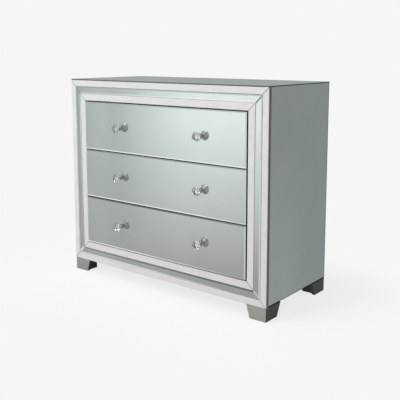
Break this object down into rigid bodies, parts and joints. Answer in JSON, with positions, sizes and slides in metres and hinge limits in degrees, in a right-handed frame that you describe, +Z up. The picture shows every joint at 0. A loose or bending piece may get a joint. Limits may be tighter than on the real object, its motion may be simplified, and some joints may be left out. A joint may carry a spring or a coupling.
{
  "type": "chest of drawers",
  "caption": "Chest of drawers faced with bevelled sheet mirror inside a mitred silver frame, with crystal knobs and tapered bracket feet; each drawer slides on side runners.",
  "frame": {"origin": "on the floor, under the middle of the space the whole chest takes up, knobs included", "axes": "+Z up, -Y out of the front with the drawers, +X to the right as seen from the front"},
  "size_m": [0.954, 0.4498, 0.8],
  "materials": {
    "mirror": "silvered float glass, face edges ground to a bevel",
    "silver_leaf": "wood moulding under satin silver leaf",
    "champagne": "wood under satin champagne-silver leaf",
    "black_board": "fibreboard painted matt black",
    "drawer_board": "fibreboard under pale grey melamine with a fine grain",
    "hardwood": "planed beech, waxed",
    "chrome": "polished chrome plate",
    "crystal": "clear cut crystal, flat polished facets"
  },
  "bodies": {
    "carcass": {"left_side_panel": "black_board", "left_runner_board": "drawer_board", "left_side_mirror": "mirror", "right_side_panel": "black_board", "right_runner_board": "drawer_board", "right_side_mirror": "mirror", "top_panel": "black_board", "bottom_panel": "black_board", "back_panel": "black_board", "top_mirror": "mirror", "lower_divider_rail": "drawer_board", "upper_divider_rail": "drawer_board", "frame_bottom_rail": "silver_leaf", "bottom_rail_mirror_strip": "mirror", "frame_right_stile": "silver_leaf", "right_stile_mirror_strip": "mirror", "frame_top_rail": "silver_leaf", "top_rail_mirror_strip": "mirror", "frame_left_stile": "silver_leaf", "left_stile_mirror_strip": "mirror", "front_left_foot": "champagne", "front_right_foot": "champagne", "rear_left_foot": "champagne", "rear_right_foot": "champagne", "bottom_left_runner": "hardwood", "bottom_right_runner": "hardwood", "middle_left_runner": "hardwood", "middle_right_runner": "hardwood", "top_left_runner": "hardwood", "top_right_runner": "hardwood"},
    "bottom_drawer": {"bottom_drawer_mirror": "mirror", "bottom_drawer_front_board": "black_board", "bottom_drawer_bottom": "drawer_board", "bottom_drawer_left_side": "drawer_board", "bottom_drawer_right_side": "drawer_board", "bottom_drawer_back": "drawer_board", "bottom_drawer_left_knob_base": "chrome", "bottom_drawer_left_knob_crystal": "crystal", "bottom_drawer_right_knob_base": "chrome", "bottom_drawer_right_knob_crystal": "crystal"},
    "middle_drawer": {"middle_drawer_mirror": "mirror", "middle_drawer_front_board": "black_board", "middle_drawer_bottom": "drawer_board", "middle_drawer_left_side": "drawer_board", "middle_drawer_right_side": "drawer_board", "middle_drawer_back": "drawer_board", "middle_drawer_left_knob_base": "chrome", "middle_drawer_left_knob_crystal": "crystal", "middle_drawer_right_knob_base": "chrome", "middle_drawer_right_knob_crystal": "crystal"},
    "top_drawer": {"top_drawer_mirror": "mirror", "top_drawer_front_board": "black_board", "top_drawer_bottom": "drawer_board", "top_drawer_left_side": "drawer_board", "top_drawer_right_side": "drawer_board", "top_drawer_back": "drawer_board", "top_drawer_left_knob_base": "chrome", "top_drawer_left_knob_crystal": "crystal", "top_drawer_right_knob_base": "chrome", "top_drawer_right_knob_crystal": "crystal"}
  },
  "joints": [
    {"name": "top_drawer_slide", "type": "slide", "parent": "carcass", "child": "top_drawer", "axis": [0, -1, 0], "range_m": [0, 0.26]},
    {"name": "middle_drawer_slide", "type": "slide", "parent": "carcass", "child": "middle_drawer", "axis": [0, -1, 0], "range_m": [0, 0.26]},
    {"name": "bottom_drawer_slide", "type": "slide", "parent": "carcass", "child": "bottom_drawer", "axis": [0, -1, 0], "range_m": [0, 0.26]}
  ]
}
